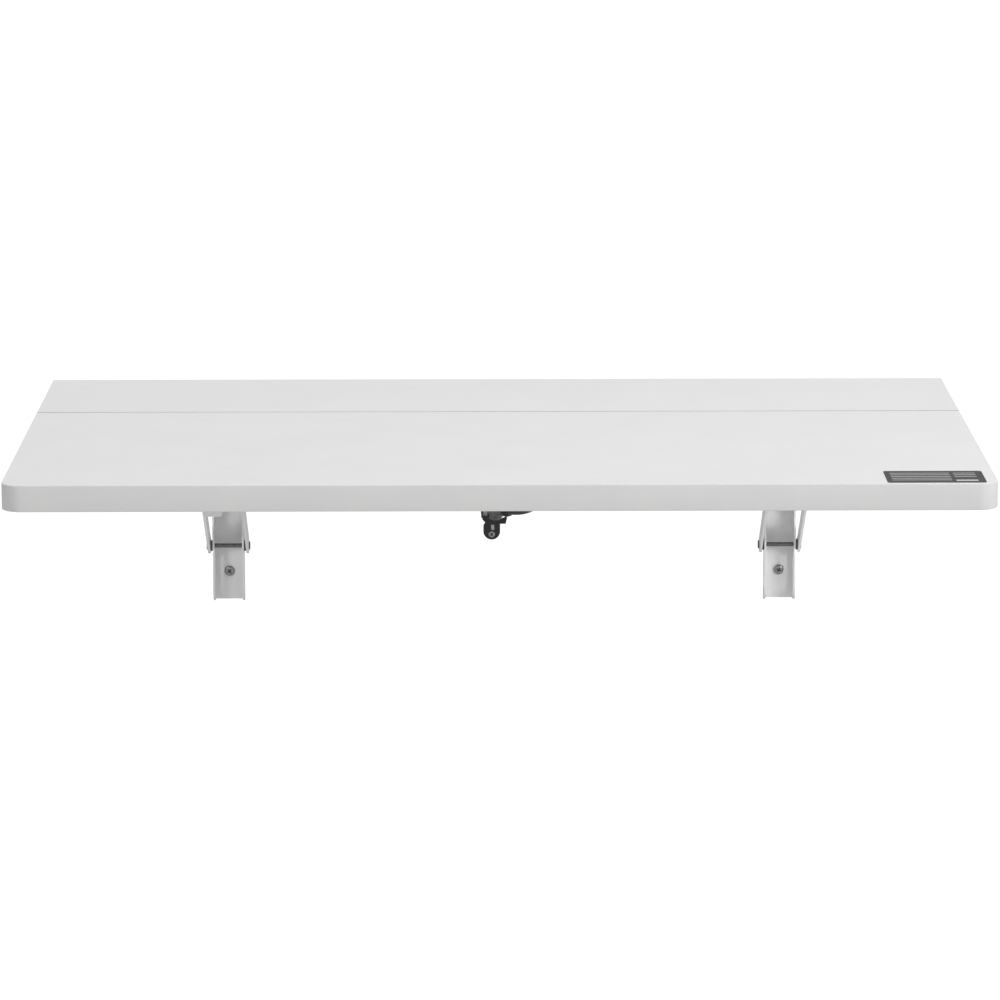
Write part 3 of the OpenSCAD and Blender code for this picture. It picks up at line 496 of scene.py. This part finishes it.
def thread(bm, core_r, shank_r, length, pitch):
    """One helical ridge down the shank, its foot sunk a little into the core."""
    start = pitch * RIDGE_START
    turns = (length - start) / pitch
    steps = int(turns * 20)
    foot_r = core_r * 0.96
    corners = [(foot_r, -start - pitch * RIDGE_HALF), (shank_r, -start),
               (foot_r, -start + pitch * RIDGE_HALF)]
    verts = [bm.verts.new((r * MM, 0, z * MM)) for r, z in corners]
    edges = [bm.edges.new((verts[k], verts[(k + 1) % 3])) for k in range(3)]
    bmesh.ops.spin(bm, geom=verts + edges, cent=(0, 0, 0), axis=(0, 0, 1),
                   dvec=(0, 0, -(length - start) / steps * MM), angle=math.tau * turns, steps=steps,
                   use_merge=False)
    bmesh.ops.holes_fill(bm, edges=open_edges(bm))


def screws(node, mesh, places, into):
    """Copies of a screw at places in millimetres; into turns its tip the right way."""
    bm = bmesh.new()
    for count, place in enumerate(places):
        first = len(bm.verts)
        bm.from_mesh(mesh)
        bm.verts.ensure_lookup_table()
        own_turn = Matrix.Rotation(math.radians(FIRST_TURN + TURN_STEP * count), 4, "Z")
        stand = Matrix.Translation(Vector(place) * MM) @ into @ own_turn
        bmesh.ops.transform(bm, matrix=stand, verts=bm.verts[first:])
    piece_from(bm, node + "_cross_recess", node)


def seats(node, face):
    """Middles of a node's separate screws on the face they enter; face is its axis and place."""
    bm = cad_copy(node)
    axis, level = face
    middles = []
    left = set(bm.verts)
    while left:
        island = {left.pop()}
        edge_front = list(island)
        while edge_front:
            vert = edge_front.pop()
            fresh = {e.other_vert(vert) for e in vert.link_edges} & left
            left -= fresh
            island |= fresh
            edge_front += fresh
        low, high = ([pick(v.co[k] for v in island) / MM for k in range(3)]
                     for pick in (min, max))
        middle = [(a + b) / 2 for a, b in zip(low, high)]
        middle[axis] = level
        middles.append(tuple(middle))
    bm.free()
    return sorted(middles)


INTO_WALL = Matrix.Rotation(math.radians(90), 4, "X")
INTO_BOARD = Matrix.Rotation(math.radians(180), 4, "X")
WALL_FACE = (1, 0)
BOARD_FACE = (2, UNDERSIDE)
PLATES_ON_BOARD = {"arm_screws": 2, "rail_screws": 2, "hinge_screws_shelf": 2,
                   "hinge_screws_leaf": 2, "damper_leaf_screws": 2.5}

screws("wall_screws",
       screw_mesh(head_r=5.7, head_h=3.4, neck_len=2.0, shank_r=2.5, length=38, pitch=2.2),
       seats("wall_screws", WALL_FACE), INTO_WALL)
screws("damper_wall_screws",
       screw_mesh(head_r=3.9, head_h=2.4, neck_len=2.5, shank_r=2.0, length=26.6, pitch=1.8),
       seats("damper_wall_screws", WALL_FACE), INTO_WALL)
for name, plate in PLATES_ON_BOARD.items():
    screws(name,
           screw_mesh(head_r=3.9, head_h=2.2, neck_len=plate, shank_r=2.0, length=15, pitch=0),
           seats(name, BOARD_FACE), INTO_BOARD)


# Damper, told in millimetres from its wall ball along its line
CYLINDER_R = 9
COLLAR_R = 9.7
COLLAR_AT = 15
COLLAR_LEN = 5.5
COLLAR_BORE_R = 2
BOOT_AT = 25
BOOT_LEN = 37


def turned(node, start, outline, smooth_deg=35):
    """A piece turned round the damper's line from a closed ring of (radius, distance)."""
    bm = bmesh.new()
    verts = [bm.verts.new((r * MM, 0, z * MM)) for r, z in outline]
    edges = [bm.edges.new((a, b)) for a, b in zip(verts, verts[1:] + verts[:1])]
    bmesh.ops.spin(bm, geom=verts + edges, cent=(0, 0, 0), axis=(0, 0, 1), angle=math.tau,
                   steps=64, use_merge=True)
    along = DAMPER_TURN @ Matrix.Translation((0, 0, start * MM))
    bmesh.ops.transform(bm, matrix=Matrix.Translation(WALL_BALL * MM) @ along, verts=bm.verts)
    shade(bm, smooth_deg)
    piece_from(bm, node + "_turned", node)


def groove(r, at, width, depth):
    """Points of a round-bottomed groove in an outline that runs along the damper."""
    return [(r, at), (r - depth, at + width * 0.3), (r - depth, at + width * 0.7), (r, at + width)]


def collar():
    """Moulded collar with rounded rims and two grooves."""
    lead, flat = 0.7, 0.2
    low_rim = [(COLLAR_R - lead, 0), (COLLAR_R - flat, flat), (COLLAR_R, lead)]
    high_rim = [(r, COLLAR_LEN - at) for r, at in reversed(low_rim)]
    grooves = [point for at in (1.5, 3.1) for point in groove(COLLAR_R, at, 0.8, 0.35)]
    turned("damper_collar", COLLAR_AT, [(COLLAR_BORE_R, 0), *low_rim, *grooves, *high_rim,
                                        (COLLAR_BORE_R, COLLAR_LEN)])


def boot():
    """Black sleeve that swells in the middle and tapers to a thin rim at both ends."""
    rim, swell, steps = 0.3, 2.4, 40
    outline = [(CYLINDER_R + rim + swell * math.sin(math.pi * k / steps), BOOT_LEN * k / steps)
               for k in range(steps + 1)]
    turned("damper_boot", BOOT_AT, [*outline, (CYLINDER_R, BOOT_LEN), (CYLINDER_R, 0)], 50)


collar()
boot()

# Widths to which the edges of the other pieces are rounded
SHEET_EDGE = 0.35
SOFT_EDGES = {
    "wall_channel_left": SHEET_EDGE, "wall_channel_right": SHEET_EDGE,
    "shelf_arm_left": SHEET_EDGE, "shelf_arm_right": SHEET_EDGE,
    "leaf_rail_left": SHEET_EDGE, "leaf_rail_right": SHEET_EDGE,
    "strut_bars_left": 0.4, "strut_bars_right": 0.4, "release_lever": 0.4,
    "hinge_flaps_shelf": 0.25, "hinge_flaps_leaf": 0.25, "hinge_pins": 0.2,
    "strut_slide_pin_left": 0.3, "strut_slide_pin_right": 0.3,
    "strut_pivot_pin_left": 0.3, "strut_pivot_pin_right": 0.3,
    "strut_clip_left": 0.2, "strut_clip_right": 0.2, "strut_pivot_clips": 0.2,
    "strut_spacers_left": 0.2, "strut_spacers_right": 0.2, "strut_pivot_spacers": 0.2,
    "lock_cam": 0.2, "lever_rivet": 0.6, "arm_rivets": 0.8,
    "damper_wall_plate": 0.3, "damper_leaf_bracket": 0.35,
    "damper_leaf_nut": 0.3, "damper_guide": 0.3, "damper_cylinder": 0.4,
    "damper_rod": 0.3, "damper_wall_socket": 0.4, "damper_leaf_socket": 0.4,
    "damper_wall_stud": 0.2, "damper_leaf_stud": 0.2, "info_label": 0.08, "damper_piston": 0.2,
}
for name, width in SOFT_EDGES.items():
    softened(name, width)


def round_wire(node):
    """The six-sided wire of a CAD node, smoothed to a round one."""
    bm = cad_copy(node)
    bmesh.ops.join_triangles(bm, faces=bm.faces, angle_face_threshold=math.radians(40),
                             angle_shape_threshold=math.pi)
    shade(bm, 80)
    wire = piece_from(bm, node + "_round", node)
    smooth = wire.modifiers.new("round", "SUBSURF")
    smooth.levels = 2
    smooth.render_levels = 2


round_wire("lever_spring")


# Floor, light and camera


WHITE = (1, 1, 1, 1)
TABLE_MIDDLE = (0, -0.3, 0)


def stage_floor():
    """Pale floor far below the table: white to the camera, with its shadow, clear from below."""
    bm = bmesh.new()
    place = Matrix.Translation(Vector(TABLE_MIDDLE) + Vector((0, 0, FLOOR_Z * MM)))
    bmesh.ops.create_circle(bm, cap_ends=True, segments=96, radius=14, matrix=place)
    bmesh.ops.reverse_faces(bm, faces=[f for f in bm.faces if f.normal.z < 0])
    mesh = bpy.data.meshes.new("floor")
    bm.to_mesh(mesh)
    bm.free()
    floor = bpy.data.objects.new("floor", mesh)
    bpy.context.scene.collection.objects.link(floor)
    material, tree, shader, spot = new_material("pale_studio_floor", Roughness=0.9)
    tint(tree, shader, spread(tree, pattern(tree, spot, 400), 0, 1), "#E6E6E6", "#E9E9E9")
    glow = add(tree, "ShaderNodeEmission", {"Color": WHITE, "Strength": 0.95})
    lit = add(tree, "ShaderNodeBsdfDiffuse", {"Color": (0.3, 0.3, 0.3, 1)})
    white = add(tree, "ShaderNodeAddShader", {0: glow.outputs[0], 1: lit.outputs[0]})
    seen = add(tree, "ShaderNodeLightPath").outputs["Is Camera Ray"]
    mix = add(tree, "ShaderNodeMixShader", {0: seen, 1: shader.outputs[0], 2: white.outputs[0]})
    below = add(tree, "ShaderNodeNewGeometry").outputs["Backfacing"]
    clear = add(tree, "ShaderNodeBsdfTransparent")
    one_way = add(tree, "ShaderNodeMixShader", {0: below, 1: mix.outputs[0], 2: clear.outputs[0]})
    tree.links.new(one_way.outputs[0], tree.nodes["Material Output"].inputs["Surface"])
    mesh.materials.append(material)


def studio_world(strength):
    """Even light on the object; white for the camera and for what mirrors it."""
    world = bpy.data.worlds.new("studio")
    bpy.context.scene.world = world
    world.use_nodes = True
    tree = world.node_tree
    tree.nodes.clear()
    path = add(tree, "ShaderNodeLightPath").outputs
    seen = add(tree, "ShaderNodeMath", {0: path["Is Camera Ray"], 1: path["Is Transmission Ray"]},
               operation="MAXIMUM")
    seen = add(tree, "ShaderNodeMath", {0: seen.outputs[0], 1: path["Is Glossy Ray"]},
               operation="MAXIMUM")
    light = add(tree, "ShaderNodeBackground", {"Color": WHITE, "Strength": strength})
    white = add(tree, "ShaderNodeBackground", {"Color": WHITE, "Strength": 1.0})
    mix = add(tree, "ShaderNodeMixShader",
              {0: seen.outputs[0], 1: light.outputs[0], 2: white.outputs[0]})
    add(tree, "ShaderNodeOutputWorld", {"Surface": mix.outputs[0]})


def soft_box(name, at, aim, size, power, spread_deg=180):
    """Rectangular lamp that the camera doesn't see; a small spread keeps its light off the rest."""
    lamp = bpy.data.lights.new(name, "AREA")
    lamp.shape = "RECTANGLE"
    lamp.size, lamp.size_y = size
    lamp.energy = power
    lamp.spread = math.radians(spread_deg)
    holder = bpy.data.objects.new(name, lamp)
    bpy.context.scene.collection.objects.link(holder)
    holder.location = at
    holder.rotation_euler = (Vector(aim) - Vector(at)).to_track_quat("-Z", "Y").to_euler()
    holder.visible_camera = False


def photo_camera():
    """The photograph's camera: axes from yaw, pitch and roll, place in front of the table."""
    yaw, pitch, roll = (math.radians(a) for a in (CAMERA_YAW, CAMERA_PITCH, CAMERA_ROLL))
    ahead = Vector((math.sin(yaw) * math.cos(pitch), math.cos(yaw) * math.cos(pitch),
                    -math.sin(pitch)))
    side = Vector((math.cos(yaw), -math.sin(yaw), 0))
    up = side.cross(ahead)
    turned_side = side * math.cos(roll) + up * math.sin(roll)
    turned_up = up * math.cos(roll) - side * math.sin(roll)
    data = bpy.data.cameras.new("camera")
    data.sensor_width = SENSOR
    data.lens = FOCAL
    data.clip_end = 100
    camera = bpy.data.objects.new("camera", data)
    bpy.context.scene.collection.objects.link(camera)
    turn = Matrix((turned_side, turned_up, -ahead)).transposed()
    camera.matrix_world = Matrix.Translation(Vector(CAMERA_AT) * MM) @ turn.to_4x4()
    bpy.context.scene.camera = camera


stage_floor()
studio_world(strength=0.47)
soft_box("key_right", at=(2.6, -2.4, 2.8), aim=TABLE_MIDDLE, size=(2.2, 2.2), power=75)
soft_box("overhead", at=(0.0, -0.4, 3.0), aim=TABLE_MIDDLE, size=(3.0, 2.2), power=10)
soft_box("under_left", at=(-0.438, -0.187, 0.0175), aim=(-0.312, 0, -0.05),
         size=(0.045, 0.036), power=0.013, spread_deg=60)
soft_box("under_right", at=(0.466, -0.187, 0.023), aim=(0.312, 0, -0.05),
         size=(0.09, 0.039), power=0.036, spread_deg=60)
photo_camera()
bpy.context.scene.view_settings.view_transform = "Standard"
